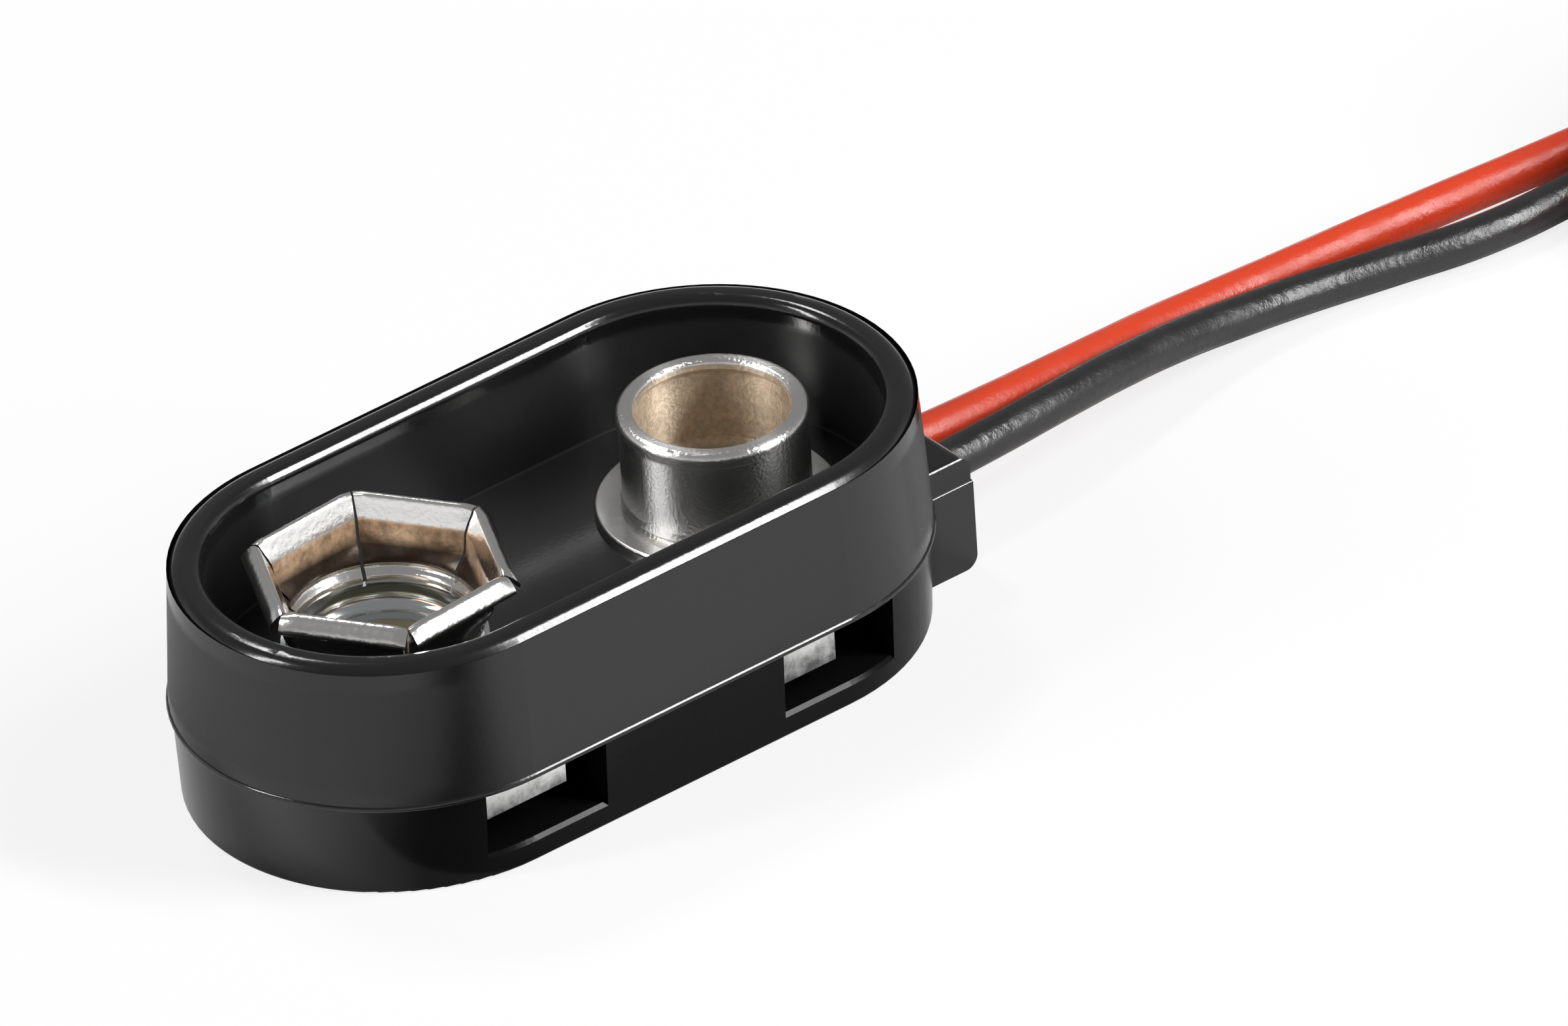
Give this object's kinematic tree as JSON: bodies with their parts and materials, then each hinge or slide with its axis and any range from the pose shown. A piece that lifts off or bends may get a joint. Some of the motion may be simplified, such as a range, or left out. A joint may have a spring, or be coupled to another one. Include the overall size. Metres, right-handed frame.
{
  "type": "battery snap",
  "caption": "Battery snap: a black oblong plastic housing with a six-petal socket, a hollow stud and a red and a black lead.",
  "frame": {"origin": "on the base plane, under the point midway between the axes of the socket and the stud", "axes": "+Z along the stud, away from the base; +X from the socket past the stud to the leads' exit; -Y towards the long side that the picture shows"},
  "size_m": [0.0708, 0.0243, 0.0079],
  "materials": {
    "housing_black": "satin fine-textured black",
    "tray_black": "satin black",
    "nickel_plate": "bright nickel plate",
    "tinned_tag": "tinned",
    "rivet_brass": "dull brass",
    "solder": "bright solder",
    "red_pvc": "soft gloss",
    "black_pvc": "soft gloss",
    "tinned_copper": "tinned strands"
  },
  "bodies": {
    "root": {"upper_shell": "housing_black", "lower_shell": "tray_black", "socket_contact": "nickel_plate", "socket_rivet": "rivet_brass", "socket_tag": "tinned_tag", "stud_contact": "nickel_plate", "stud_washer": "nickel_plate", "stud_rivet": "rivet_brass", "stud_tag": "tinned_tag", "red_lead": "red_pvc", "red_core": "tinned_copper", "red_solder": "solder", "red_coil": "red_pvc", "red_tail": "red_pvc", "red_tip": "tinned_copper", "black_lead": "black_pvc", "black_core": "tinned_copper", "black_solder": "solder", "black_coil": "black_pvc", "black_tail": "black_pvc", "black_tip": "tinned_copper"}
  },
  "joints": []
}
